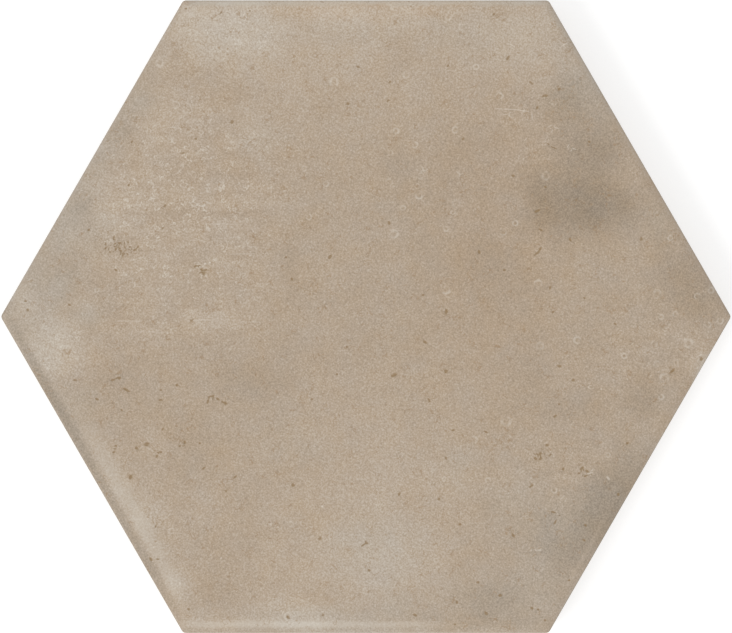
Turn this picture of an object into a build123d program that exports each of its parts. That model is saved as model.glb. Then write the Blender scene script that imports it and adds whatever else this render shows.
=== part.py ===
"""A small hexagonal wall tile, pressed and fired in one piece.

The tile lies face up. Its corners point along X, two of its flat sides face +Y and -Y,
and the origin is the centre of the back, at the level of the lands that meet the wall.
The face is level, and it rolls over into each side along a soft shoulder whose width
differs from side to side, as on a tile made to look cut by hand. Below a square joint
band the sides draw in towards the back, so that the tile leaves its die. The back
carries the honeycomb key of a pressed tile: shallow six-sided pockets, with a plain land
round them, for the adhesive to grip.
"""

import os
from math import atan2, cos, degrees, floor, pi, radians, sin, tan

from build123d import *

# Driving sizes of the body, in millimetres and degrees
across_flats = 107.0
thickness = 8.5

# Side walls: a foot that draws in towards the back, the arris where it ends, and the
# round that is left there on each corner
foot_height = 3.0
foot_inset = 0.35
back_arris = 0.3
back_corner_radius = 0.15

# Shoulder of the face: one drop and one nose for all sides, and a width for each side,
# keyed by the direction that the side faces, in degrees from +X
shoulder_drop = 0.7
nose_radius = 0.3
shoulder_widths = {
    30: 1.5,
    90: 1.3,
    150: 1.6,
    210: 4.0,
    270: 2.8,
    330: 2.0,
}

# Honeycomb key on the back
back_land = 5.0
pocket_across_flats = 6.0
pocket_depth = 0.7
pocket_draft = 20.0
rib_width = 1.2

# Sizes of the body that follow
side_count = 6
half_side_angle = pi / side_count
apothem = across_flats / 2
side_length = across_flats * tan(half_side_angle)
corner_radius = back_corner_radius + back_arris + foot_inset
foot_draft = degrees(atan2(foot_inset, foot_height))

# Foot of the shoulder, and how far the waste that is cut off above it reaches
shoulder_foot = (apothem, thickness - shoulder_drop)
waste_side = apothem + shoulder_drop
waste_low = thickness - 2 * shoulder_drop
waste_high = thickness + shoulder_drop

# Sizes of the key that follow
pocket_pitch = pocket_across_flats + rib_width
pocket_reach = pocket_across_flats / 2 / cos(half_side_angle)
row_spacing = pocket_pitch * cos(half_side_angle)
key_apothem = apothem - foot_inset - back_arris - back_land
ring_count = floor((key_apothem - pocket_reach) / row_spacing)


def across_side(angle):
    """The plane that cuts the tile at the middle of a side: x runs outwards and y runs up."""
    outwards = Vector(cos(radians(angle)), sin(radians(angle)), 0)
    along = Vector(sin(radians(angle)), -cos(radians(angle)), 0)
    return Plane(origin=(0, 0, 0), x_dir=outwards, z_dir=along)


def pocket_centres():
    """Centres of the pockets, in rings round the middle one, which end parallel to the sides."""
    centres = []
    for row in range(-ring_count, ring_count + 1):
        for column in range(-ring_count, ring_count + 1):
            if abs(row + column) <= ring_count:
                centres.append((pocket_pitch * (column + row / 2), row_spacing * row))
    return centres


with BuildPart() as tile:
    # Joint band and face: a straight slab with eased corners
    with BuildSketch(Plane.XY.offset(foot_height)) as outline:
        RegularPolygon(apothem, side_count, major_radius=False)
        fillet(outline.vertices(), corner_radius)
    extrude(amount=thickness - foot_height)

    # Foot: the same outline, drawn in towards the back, with its arris broken
    extrude(outline.sketch, amount=-foot_height, taper=foot_draft)
    back_face = tile.faces().sort_by(Axis.Z).first
    chamfer(back_face.edges(), back_arris)

    # Shoulder and nose along each side, cut as one profile that runs the side's length
    for angle, width in shoulder_widths.items():
        shoulder_top = (apothem - width, thickness)
        with BuildSketch(across_side(angle)) as waste:
            with BuildLine():
                TangentArc(shoulder_top, shoulder_foot, tangent=(1, 0))
                Polyline(
                    shoulder_foot,
                    (apothem, waste_low),
                    (waste_side, waste_low),
                    (waste_side, waste_high),
                    (apothem - width, waste_high),
                    shoulder_top,
                )
            make_face()
            nose = waste.vertices().sort_by_distance(shoulder_foot).first
            fillet(nose, nose_radius)
        extrude(amount=side_length, both=True, mode=Mode.SUBTRACT)

    # Honeycomb key: pockets with drafted walls, turned so that their rows follow the sides
    with BuildSketch() as pockets:
        with Locations(*pocket_centres()):
            RegularPolygon(
                pocket_across_flats / 2,
                side_count,
                major_radius=False,
                rotation=degrees(half_side_angle),
            )
    extrude(amount=pocket_depth, taper=pocket_draft, mode=Mode.SUBTRACT)

tile.part.label = "hexagon_tile"

os.makedirs("parts", exist_ok=True)
export_step(tile.part, "parts/hexagon_tile.step")

extents = tile.part.bounding_box().size
print("hexagon_tile", extents.X, extents.Y, extents.Z, "volume", tile.part.volume)
print("pockets", len(pockets.faces()), "in", ring_count, "rings")
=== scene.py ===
# %% [markdown]
# # A small hexagonal wall tile
#
# The real object is one piece of clay, pressed in a die, glazed matt on its face and fired.
# It is 107 mm across its flats and lies face up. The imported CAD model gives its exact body.
# This lesson makes the same body again as a finer mesh, which can carry the dents and the
# cloudy glaze that a CAD solid can't, and then lights it and sets the camera straight above.

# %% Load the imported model
from math import cos, pi, radians, sin

import bpy
import numpy as np
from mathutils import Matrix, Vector, noise


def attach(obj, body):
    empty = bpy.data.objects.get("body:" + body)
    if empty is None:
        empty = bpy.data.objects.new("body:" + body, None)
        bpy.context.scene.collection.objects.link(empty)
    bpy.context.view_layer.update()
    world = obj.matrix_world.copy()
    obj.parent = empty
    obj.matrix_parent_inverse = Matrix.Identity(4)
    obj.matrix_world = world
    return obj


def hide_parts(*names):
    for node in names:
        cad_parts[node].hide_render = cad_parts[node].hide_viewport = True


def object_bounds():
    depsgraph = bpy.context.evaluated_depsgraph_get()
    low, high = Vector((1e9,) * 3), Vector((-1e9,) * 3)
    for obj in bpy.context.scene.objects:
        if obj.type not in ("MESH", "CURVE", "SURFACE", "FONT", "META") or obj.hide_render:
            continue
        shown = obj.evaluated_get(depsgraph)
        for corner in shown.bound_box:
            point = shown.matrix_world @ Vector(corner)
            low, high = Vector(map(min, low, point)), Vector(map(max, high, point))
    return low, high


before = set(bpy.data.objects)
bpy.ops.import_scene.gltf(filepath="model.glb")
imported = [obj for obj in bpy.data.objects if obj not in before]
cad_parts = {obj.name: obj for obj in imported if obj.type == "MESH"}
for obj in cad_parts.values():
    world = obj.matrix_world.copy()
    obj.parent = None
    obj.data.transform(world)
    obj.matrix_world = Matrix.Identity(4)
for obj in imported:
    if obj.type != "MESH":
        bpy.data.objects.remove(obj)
cad_low, cad_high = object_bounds()
print("CAD box in mm:", [round(1000 * x, 2) for x in (*cad_low, *cad_high)])

# %% [markdown]
# ## Small tools
#
# Blender works in metres, and a tile is easier to think about in millimetres. Colours are
# written as the sRGB values that the eye reads off a screen, and a shader needs them linear.
# A node tree is easiest to read when each node is one call, so one function adds a node of
# any kind: it takes what goes into its sockets, and its settings by name.

# %% Millimetres, colours and nodes
MM = 0.001


def linear(hex_colour):
    """An sRGB colour such as #B3A391 as linear red, green, blue and alpha."""
    parts = [int(hex_colour[i : i + 2], 16) / 255 for i in (1, 3, 5)]
    return [c / 12.92 if c <= 0.04045 else ((c + 0.055) / 1.055) ** 2.4 for c in parts] + [1.0]


def add(tree, kind, sockets=None, **settings):
    """Adds a node. A socket takes a value, another node's output, or a node for its first one."""
    node = tree.nodes.new(kind)
    for name, value in settings.items():
        setattr(node, name, value)
    for key, value in (sockets or {}).items():
        if isinstance(value, bpy.types.Node):
            value = value.outputs[0]
        if isinstance(value, bpy.types.NodeSocket):
            tree.links.new(value, node.inputs[key])
        else:
            node.inputs[key].default_value = value
    return node


print("the palest glaze as linear light:", [round(c, 3) for c in linear("#CFC6B8")])

# %% [markdown]
# ## Sizes of the body
#
# These are the sizes of the CAD solid. The overall ones are read from its box, and the others
# are written down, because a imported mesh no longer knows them. A tile made to look cut by
# hand rolls over into its sides along a soft shoulder, which is wide on the two sides at the
# lower left and narrow on the others.

# %% Sizes in metres
ACROSS_FLATS = cad_high.y - cad_low.y
APOTHEM = ACROSS_FLATS / 2
THICKNESS = cad_high.z
HALF_SIDE = radians(30)
SHOULDER_WIDTHS = {
    30: 1.5 * MM,
    90: 1.3 * MM,
    150: 1.6 * MM,
    210: 4.0 * MM,
    270: 2.8 * MM,
    330: 2.0 * MM,
}
print("across flats", round(ACROSS_FLATS / MM, 2), "mm, thickness", round(THICKNESS / MM, 2), "mm")

# %% [markdown]
# ## The camera
#
# A tile is pictured for a catalogue from straight above, with its face square to the lens. A
# long lens well above it keeps the sides upright. The picture is 732 by 633 pixels, and the
# tile spans 730 of them from corner to corner and nearly all of them from flat to flat. Its
# middle lies within a pixel of the picture's own, and the camera stands as far off the
# tile's middle as that asks.

# %% A long lens straight above
PICTURE_WIDTH = 732
PICTURE_HEIGHT = 633
PICTURE_CENTRE = (365.9, 316.7)
TILE_IN_PICTURE = 632.7
PIXEL = ACROSS_FLATS / TILE_IN_PICTURE

# The outline that the lens sees is the top of the joint band, so a pixel is measured there
JOINT_BAND_TOP = 7.6 * MM

camera_data = bpy.data.cameras.new("catalogue_camera")
camera_data.lens = 300
camera_data.sensor_width = 36
camera_data.clip_end = 20
camera_distance = PICTURE_WIDTH * PIXEL * camera_data.lens / camera_data.sensor_width
camera = bpy.data.objects.new("catalogue_camera", camera_data)
camera_x = (PICTURE_WIDTH / 2 - PICTURE_CENTRE[0]) * PIXEL
camera_y = (PICTURE_CENTRE[1] - PICTURE_HEIGHT / 2) * PIXEL
camera.location = (camera_x, camera_y, JOINT_BAND_TOP + camera_distance)
bpy.context.scene.collection.objects.link(camera)
bpy.context.scene.camera = camera
print("camera", round(camera_distance, 3), "m above the tile")

# %% [markdown]
# ## Light and background
#
# The face is matt and almost level, so its colour comes from an even, plain light. Its
# shoulders show partly because part of that light comes from the lower left, and partly by
# painted shade and painted highlight along the sides. A white world gives the even part. A sun
# as wide as a big soft box gives the rest: an area lamp could do it too, but a sun lights the
# whole field alike and never stands in the picture. The sky and the floor are white to the
# camera and in reflections by way of Light Path. The floor glows only in part and is lit for
# the rest, so that it keeps the tile's soft shadow.

# %% World, floor and key light
SKY_SHARE = 0.74
KEY_SHARE = 0.26
KEY_HEIGHT = radians(48)
KEY_TURN = radians(225)
FLOOR_GLOW = 0.65

scene = bpy.context.scene
scene.view_settings.view_transform = "Standard"
world = bpy.data.worlds.new("white_studio")
world.use_nodes = True
scene.world = world
floor_material = bpy.data.materials.new("white_studio_floor")
floor_material.use_nodes = True


def start_seen(tree):
    """Clears the tree, and gives 1 for what is seen or mirrored and 0 for what lights things."""
    tree.nodes.clear()
    path = add(tree, "ShaderNodeLightPath")
    rays = ("Is Camera Ray", "Is Glossy Ray", "Is Transmission Ray")
    camera_ray, glossy_ray, transmission_ray = (path.outputs[name] for name in rays)
    either = add(tree, "ShaderNodeMath", {0: camera_ray, 1: glossy_ray}, operation="MAXIMUM")
    return add(tree, "ShaderNodeMath", {0: either, 1: transmission_ray}, operation="MAXIMUM")


sky = world.node_tree
sky_strength = add(sky, "ShaderNodeMapRange", {"Value": start_seen(sky), "To Min": SKY_SHARE})
backdrop = add(sky, "ShaderNodeBackground", {"Color": (1, 1, 1, 1), "Strength": sky_strength})
add(sky, "ShaderNodeOutputWorld", {"Surface": backdrop})

ground = floor_material.node_tree
glow = add(ground, "ShaderNodeMapRange", {"Value": start_seen(ground), "To Max": FLOOR_GLOW})
glow = add(ground, "ShaderNodeEmission", {"Strength": glow})
card = add(ground, "ShaderNodeBsdfDiffuse", {"Color": linear("#B4B4B4")})
floor_look = add(ground, "ShaderNodeAddShader", {0: card, 1: glow})
add(ground, "ShaderNodeOutputMaterial", {"Surface": floor_look})

key_data = bpy.data.lights.new("soft_key", "SUN")
key_data.energy = KEY_SHARE * pi / sin(KEY_HEIGHT)
key_data.angle = radians(24)
key = bpy.data.objects.new("soft_key", key_data)
scene.collection.objects.link(key)
key_run = cos(KEY_HEIGHT)
towards_key = Vector((key_run * cos(KEY_TURN), key_run * sin(KEY_TURN), sin(KEY_HEIGHT)))
key.rotation_euler = towards_key.to_track_quat("Z", "Y").to_euler()

# The floor lies a hair below the tile, so that the two never share a plane
FLOOR_REACH = 12.0
FLOOR_LEVEL = -0.02 * MM
corners = [(-1, -1), (1, -1), (1, 1), (-1, 1)]
corners = [(x * FLOOR_REACH, y * FLOOR_REACH, FLOOR_LEVEL) for x, y in corners]
floor_mesh = bpy.data.meshes.new("studio_floor")
floor_mesh.from_pydata(corners, [], [(0, 1, 2, 3)])
floor_mesh.materials.append(floor_material)
studio_floor = bpy.data.objects.new("studio_floor", floor_mesh)
scene.collection.objects.link(studio_floor)
print("key light from", [round(x, 2) for x in towards_key])

# %% [markdown]
# ## Trees with named inputs
#
# The body follows a rule and its back repeats one pocket, so Geometry Nodes make both. Each
# tree takes its sizes as named inputs. A modifier knows those inputs by their identifiers, so
# three small functions start a tree, end it, and hang it on an object with its values set.

# %% Start a tree, end it, and hang it on an object
SOCKET_KINDS = {
    int: "NodeSocketInt",
    float: "NodeSocketFloat",
    str: "NodeSocketString",
    bpy.types.Material: "NodeSocketMaterial",
    bpy.types.Object: "NodeSocketObject",
}


def start_tree(name, values):
    """A Geometry Nodes tree with a geometry going in and out, and one input for each value."""
    tree = bpy.data.node_groups.new(name, "GeometryNodeTree")
    tree.interface.new_socket("Geometry", in_out="INPUT", socket_type="NodeSocketGeometry")
    tree.interface.new_socket("Geometry", in_out="OUTPUT", socket_type="NodeSocketGeometry")
    for label, value in values.items():
        kind = SOCKET_KINDS[type(value)]
        tree.interface.new_socket(label, in_out="INPUT", socket_type=kind)
    return tree, add(tree, "NodeGroupInput").outputs


def end_tree(tree, geometry, material):
    """Ends the tree: what it made is real mesh, and has its material."""
    real = add(tree, "GeometryNodeRealizeInstances", {0: geometry})
    painted = add(tree, "GeometryNodeSetMaterial", {"Geometry": real, "Material": material})
    add(tree, "NodeGroupOutput", {0: painted})


def hang(tree, obj, values):
    """Hangs the tree on the object as a modifier, with its inputs set by identifier."""
    modifier = obj.modifiers.new(tree.name, "NODES")
    modifier.node_group = tree
    for item in tree.interface.items_tree:
        if item.in_out == "INPUT" and item.name in values:
            modifier[item.identifier] = values[item.name]
    print(tree.name, "has", len(tree.nodes), "nodes")


print("a tree can take", [kind.__name__ for kind in SOCKET_KINDS], "as inputs")

# %% [markdown]
# ## The slab: face, shoulders and sides
#
# A hexagon is three rhombi about its centre. Each is a square grid, skewed, and in all three
# the grid's lines run parallel to the tile's sides, so the shoulders and their mitres fall
# along edges of the mesh. A fan of triangles or a cut disc would be quicker to make, but it
# would crowd the centre and cross the shoulders. The rings lie closer together near the
# sides, where the form turns. Then the corners are eased, the face is let down along each
# side, and the rim is extruded three times: down the joint band, in along the foot, and round
# the arris to the back.

# %% Geometry Nodes: the lattice of the face
glaze = bpy.data.materials.new("matt_glaze_on_fired_clay")
SLAB = {
    "Divisions": 160,
    "Ring Crowding": 1.3,
    "Apothem": APOTHEM,
    "Thickness": THICKNESS,
    "Corner Radius": 0.8 * MM,
    "Foot Height": 3.0 * MM,
    "Foot Inset": 0.35 * MM,
    "Back Arris": 0.3 * MM,
    "Shoulder Drop": 0.7 * MM,
    "Nose Radius": 0.25 * MM,
    "Wave Depth": 0.05 * MM,
    "Wave Length": 14.0 * MM,
    "Material": glaze,
}
for side, width in SHOULDER_WIDTHS.items():
    SLAB[f"Shoulder Width {side}"] = width
slab, size = start_tree("hexagonal_slab", SLAB)

points = add(slab, "ShaderNodeMath", {0: size["Divisions"], 1: 1.0}, operation="ADD")
grid = {"Size X": 1.0, "Size Y": 1.0, "Vertices X": points, "Vertices Y": points}
grid = add(slab, "GeometryNodeMeshGrid", grid)
place = add(slab, "GeometryNodeInputPosition")
share = add(slab, "ShaderNodeVectorMath", {0: place, 1: (0.5, 0.5, 0)}, operation="ADD")
share = add(slab, "ShaderNodeSeparateXYZ", {0: share}).outputs
ring = add(slab, "ShaderNodeMath", {0: share[0], 1: share[1]}, operation="MAXIMUM")
ring = add(slab, "ShaderNodeMath", {0: ring, 1: 1e-6}, operation="MAXIMUM")

# How far each ring of the grid lies in from the side
inset = add(slab, "ShaderNodeMath", {0: 1.0, 1: ring}, operation="SUBTRACT")
inset = add(slab, "ShaderNodeMath", {0: inset, 1: size["Ring Crowding"]}, operation="POWER")
inset = add(slab, "ShaderNodeMath", {0: inset, 1: size["Apothem"]}, operation="MULTIPLY")

# The grid's two directions become those of two corners that stand 120 degrees apart
reach = add(slab, "ShaderNodeMath", {0: size["Apothem"], 1: inset}, operation="SUBTRACT")
reach = add(slab, "ShaderNodeMath", {0: reach, 1: cos(HALF_SIDE)}, operation="DIVIDE")
reach = add(slab, "ShaderNodeMath", {0: reach, 1: ring}, operation="DIVIDE")
skew_x = {0: share[1], 1: -sin(HALF_SIDE), 2: share[0]}
skew_x = add(slab, "ShaderNodeMath", skew_x, operation="MULTIPLY_ADD")
skew_y = add(slab, "ShaderNodeMath", {0: share[1], 1: cos(HALF_SIDE)}, operation="MULTIPLY")
skewed = add(slab, "ShaderNodeCombineXYZ", {0: skew_x, 1: skew_y})
skewed = add(slab, "ShaderNodeVectorMath", {0: skewed, "Scale": reach}, operation="SCALE")
kept = {"Geometry": grid, "Name": "inset", "Value": inset}
kept = add(slab, "GeometryNodeStoreNamedAttribute", kept, data_type="FLOAT", domain="POINT")
rhombus = add(slab, "GeometryNodeSetPosition", {"Geometry": kept, "Position": skewed})

three = add(slab, "GeometryNodeMeshLine", {"Count": 3, "Offset": (0, 0, 0)})
number = add(slab, "GeometryNodeInputIndex")
turn = add(slab, "ShaderNodeMath", {0: number, 1: radians(120)}, operation="MULTIPLY")
turn = add(slab, "ShaderNodeCombineXYZ", {2: turn})
turn = add(slab, "FunctionNodeEulerToRotation", {0: turn})
rhombi = {"Points": three, "Instance": rhombus, "Rotation": turn}
rhombi = add(slab, "GeometryNodeInstanceOnPoints", rhombi)
lattice = add(slab, "GeometryNodeRealizeInstances", {0: rhombi})
lattice = add(slab, "GeometryNodeMergeByDistance", {0: lattice, "Distance": 0.001 * MM})
print("lattice of", SLAB["Divisions"], "rings,", len(slab.nodes), "nodes so far")

# %% Geometry Nodes: eased corners
# A point is moved to lie as far from the core, a smaller hexagon, as its ring says
inset = add(slab, "GeometryNodeInputNamedAttribute", {"Name": "inset"}, data_type="FLOAT")
core = {0: size["Apothem"], 1: size["Corner Radius"]}
core = add(slab, "ShaderNodeMath", core, operation="SUBTRACT")
core = add(slab, "ShaderNodeMath", {0: core, 1: cos(HALF_SIDE)}, operation="DIVIDE")
core = add(slab, "GeometryNodeMeshCircle", {"Vertices": 6, "Radius": core}, fill_type="NGON")
nearest = add(slab, "GeometryNodeProximity", {0: core}, target_element="FACES").outputs
away = {0: place, 1: nearest["Position"]}
away = add(slab, "ShaderNodeVectorMath", away, operation="SUBTRACT")
away = add(slab, "ShaderNodeVectorMath", {0: away}, operation="NORMALIZE")
length = {0: size["Corner Radius"], 1: inset}
length = add(slab, "ShaderNodeMath", length, operation="SUBTRACT")
away = add(slab, "ShaderNodeVectorMath", {0: away, "Scale": length}, operation="SCALE")
moved = {0: nearest["Position"], 1: away}
moved = add(slab, "ShaderNodeVectorMath", moved, operation="ADD")
outside = {0: nearest["Distance"], 1: 0.001 * MM}
outside = add(slab, "ShaderNodeMath", outside, operation="GREATER_THAN")
face = {"Geometry": lattice, "Selection": outside, "Position": moved}
face = add(slab, "GeometryNodeSetPosition", face)
print("corners eased to", round(SLAB["Corner Radius"] / MM, 2), "mm")

# %% Geometry Nodes: shoulders, nose and waves
# The furthest way down any of the six shoulders counts, so that they meet in mitres
way_down = 0.0
for side in SHOULDER_WIDTHS:
    facing = (cos(radians(side)), sin(radians(side)), 0)
    out = add(slab, "ShaderNodeVectorMath", {0: place, 1: facing}, operation="DOT_PRODUCT")
    start = {0: size["Apothem"], 1: size[f"Shoulder Width {side}"]}
    start = add(slab, "ShaderNodeMath", start, operation="SUBTRACT")
    down = {"Value": out.outputs["Value"], "From Min": start, "From Max": size["Apothem"]}
    down = add(slab, "ShaderNodeMapRange", down)
    way_down = add(slab, "ShaderNodeMath", {0: down, 1: way_down}, operation="MAXIMUM")
fall = add(slab, "ShaderNodeMath", {0: way_down, 1: 2.0}, operation="POWER")
fall = add(slab, "ShaderNodeMath", {0: fall, 1: size["Shoulder Drop"]}, operation="MULTIPLY")

# The nose is a quarter round below the shoulder
round_off = {"Value": inset, "From Max": size["Nose Radius"], "To Min": 1.0, "To Max": 0.0}
round_off = add(slab, "ShaderNodeMapRange", round_off)
round_off = add(slab, "ShaderNodeMath", {0: round_off, 1: 2.0}, operation="POWER")
round_off = add(slab, "ShaderNodeMath", {0: 1.0, 1: round_off}, operation="SUBTRACT")
round_off = add(slab, "ShaderNodeMath", {0: round_off}, operation="SQRT")
round_off = add(slab, "ShaderNodeMath", {0: 1.0, 1: round_off}, operation="SUBTRACT")
nose = {0: round_off, 1: size["Nose Radius"], 2: fall}
fall = add(slab, "ShaderNodeMath", nose, operation="MULTIPLY_ADD")

# A pressed face is level only to a few hundredths of a millimetre
wave = add(slab, "ShaderNodeMath", {0: 1.0, 1: size["Wave Length"]}, operation="DIVIDE")
wave = add(slab, "ShaderNodeTexNoise", {"Vector": place, "Scale": wave, "Detail": 1.0})
wave = {0: wave, 1: size["Wave Depth"], 2: fall}
fall = add(slab, "ShaderNodeMath", wave, operation="MULTIPLY_ADD")
height = add(slab, "ShaderNodeMath", {0: size["Thickness"], 1: fall}, operation="SUBTRACT")
lift = add(slab, "ShaderNodeCombineXYZ", {2: height})
body = add(slab, "GeometryNodeSetPosition", {"Geometry": face, "Offset": lift})
print("shoulders in mm:", {side: round(w / MM, 1) for side, w in SHOULDER_WIDTHS.items()})

# %% Geometry Nodes: joint band, foot and arris
STEPS = (("Foot Height", None), ("Back Arris", "Foot Inset"), (None, "Back Arris"))
open_edge = add(slab, "GeometryNodeInputMeshEdgeNeighbors")
open_edge = add(slab, "ShaderNodeMath", {0: open_edge, 1: 1.0, 2: 0.1}, operation="COMPARE")
for lowered_to, drawn_in in STEPS:
    rim = {"Mesh": body, "Selection": open_edge, "Offset Scale": 0.0}
    rim = add(slab, "GeometryNodeExtrudeMesh", rim, mode="EDGES").outputs
    shrink = {0: size[drawn_in] if drawn_in else 0.0, 1: size["Apothem"]}
    shrink = add(slab, "ShaderNodeMath", shrink, operation="DIVIDE")
    shrink = add(slab, "ShaderNodeMath", {0: 1.0, 1: shrink}, operation="SUBTRACT")
    flat_scale = add(slab, "ShaderNodeCombineXYZ", {0: shrink, 1: shrink})
    new_level = {2: size[lowered_to] if lowered_to else 0.0}
    new_level = add(slab, "ShaderNodeCombineXYZ", new_level)
    ring_place = {0: place, 1: flat_scale, 2: new_level}
    ring_place = add(slab, "ShaderNodeVectorMath", ring_place, operation="MULTIPLY_ADD")
    body = {"Geometry": rim["Mesh"], "Selection": rim["Top"], "Position": ring_place}
    body = add(slab, "GeometryNodeSetPosition", body)
end_tree(slab, body, size["Material"])
print("rim extruded", len(STEPS), "times")

# %% [markdown]
# ## The honeycomb key
#
# The back of a pressed tile has pockets that adhesive grips. One pocket, with its share of
# the ribs round it, is made from a hexagon: inset once for the rib, then pushed in and
# narrowed for the drafted wall. Points in rings carry it across the back, where its edges
# meet its neighbours' exactly. What is left between the last pockets and the arris is filled
# between the two outlines, so the back closes without a cut.

# %% Geometry Nodes: one pocket with its ribs
KEY = {
    "Pocket Across Flats": 6.0 * MM,
    "Rib Width": 1.2 * MM,
    "Pocket Depth": 0.7 * MM,
    "Wall Draft": radians(20),
    "Rings": 7,
    "Material": glaze,
}
honeycomb, size = start_tree("honeycomb_key", KEY)
slab_in = size["Geometry"]

pitch = {0: size["Pocket Across Flats"], 1: size["Rib Width"]}
pitch = add(honeycomb, "ShaderNodeMath", pitch, operation="ADD")
cell_radius = {0: pitch, 1: 2 * cos(HALF_SIDE)}
cell_radius = add(honeycomb, "ShaderNodeMath", cell_radius, operation="DIVIDE")
rim_share = {0: size["Pocket Across Flats"], 1: pitch}
rim_share = add(honeycomb, "ShaderNodeMath", rim_share, operation="DIVIDE")
draft = add(honeycomb, "ShaderNodeMath", {0: size["Wall Draft"]}, operation="TANGENT")
draft = add(honeycomb, "ShaderNodeMath", {0: draft, 1: size["Pocket Depth"]}, operation="MULTIPLY")
draft = add(honeycomb, "ShaderNodeMath", {0: draft, 1: -2.0}, operation="MULTIPLY")
floor_share = {0: draft, 1: size["Pocket Across Flats"]}
floor_share = add(honeycomb, "ShaderNodeMath", floor_share, operation="DIVIDE")
floor_share = add(honeycomb, "ShaderNodeMath", {0: floor_share, 1: 1.0}, operation="ADD")

cell = {"Vertices": 6, "Radius": cell_radius}
cell = add(honeycomb, "GeometryNodeMeshCircle", cell, fill_type="NGON")
cell = {0: cell, "Rotation": (0, 0, HALF_SIDE)}
cell = add(honeycomb, "GeometryNodeTransform", cell)
inner = True
for depth, narrowed in ((0.0, rim_share), (size["Pocket Depth"], floor_share)):
    step = {"Mesh": cell, "Selection": inner, "Offset Scale": depth}
    step = add(honeycomb, "GeometryNodeExtrudeMesh", step, mode="FACES").outputs
    inner = step["Top"]
    cell = {"Geometry": step["Mesh"], "Selection": inner, "Scale": narrowed}
    cell = add(honeycomb, "GeometryNodeScaleElements", cell)
cell = add(honeycomb, "GeometryNodeFlipFaces", {0: cell})
print("one pocket takes", len(honeycomb.nodes), "nodes")

# %% Geometry Nodes: pockets in rings
across = add(honeycomb, "ShaderNodeMath", {0: size["Rings"], 1: 2.0}, operation="MULTIPLY")
count = add(honeycomb, "ShaderNodeMath", {0: across, 1: 1.0}, operation="ADD")
spots = {"Size X": across, "Size Y": across, "Vertices X": count, "Vertices Y": count}
spots = add(honeycomb, "GeometryNodeMeshGrid", spots)
spot = add(honeycomb, "GeometryNodeInputPosition")
spot = add(honeycomb, "ShaderNodeSeparateXYZ", {0: spot}).outputs
ring = add(honeycomb, "ShaderNodeMath", {0: spot[0], 1: spot[1]}, operation="ADD")
ring = add(honeycomb, "ShaderNodeMath", {0: ring}, operation="ABSOLUTE")
limit = add(honeycomb, "ShaderNodeMath", {0: size["Rings"], 1: 0.5}, operation="ADD")
beyond = add(honeycomb, "ShaderNodeMath", {0: ring, 1: limit}, operation="GREATER_THAN")
spots = {"Geometry": spots, "Selection": beyond}
spots = add(honeycomb, "GeometryNodeDeleteGeometry", spots, domain="POINT")
spot_x = {0: spot[1], 1: 0.5, 2: spot[0]}
spot_x = add(honeycomb, "ShaderNodeMath", spot_x, operation="MULTIPLY_ADD")
spot_y = add(honeycomb, "ShaderNodeMath", {0: spot[1], 1: cos(HALF_SIDE)}, operation="MULTIPLY")
spot_at = add(honeycomb, "ShaderNodeCombineXYZ", {0: spot_x, 1: spot_y})
spot_at = add(honeycomb, "ShaderNodeVectorMath", {0: spot_at, "Scale": pitch}, operation="SCALE")
spots = add(honeycomb, "GeometryNodeSetPosition", {"Geometry": spots, "Position": spot_at})
cells = add(honeycomb, "GeometryNodeInstanceOnPoints", {"Points": spots, "Instance": cell})
cells = add(honeycomb, "GeometryNodeRealizeInstances", {0: cells})
cells = add(honeycomb, "GeometryNodeMergeByDistance", {0: cells, "Distance": 0.01 * MM})
print("pockets:", 3 * KEY["Rings"] * (KEY["Rings"] + 1) + 1)

# %% Geometry Nodes: the land round the pockets
open_edge = add(honeycomb, "GeometryNodeInputMeshEdgeNeighbors")
open_edge = add(honeycomb, "ShaderNodeMath", {0: open_edge, 1: 1.0, 2: 0.1}, operation="COMPARE")
outlines = []
for part in (slab_in, cells):
    outline = {"Mesh": part, "Selection": open_edge}
    outlines.append(add(honeycomb, "GeometryNodeMeshToCurve", outline))
both = add(honeycomb, "GeometryNodeJoinGeometry")
for outline in outlines:
    honeycomb.links.new(outline.outputs[0], both.inputs[0])
land = add(honeycomb, "GeometryNodeFillCurve", {0: both})
land = add(honeycomb, "GeometryNodeFlipFaces", {0: land})
whole = add(honeycomb, "GeometryNodeJoinGeometry")
for part in (land.outputs[0], cells.outputs[0], slab_in):
    honeycomb.links.new(part, whole.inputs[0])
whole = add(honeycomb, "GeometryNodeMergeByDistance", {0: whole, "Distance": 0.001 * MM})
end_tree(honeycomb, whole, size["Material"])
print("the key takes", len(honeycomb.nodes), "nodes")
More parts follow.
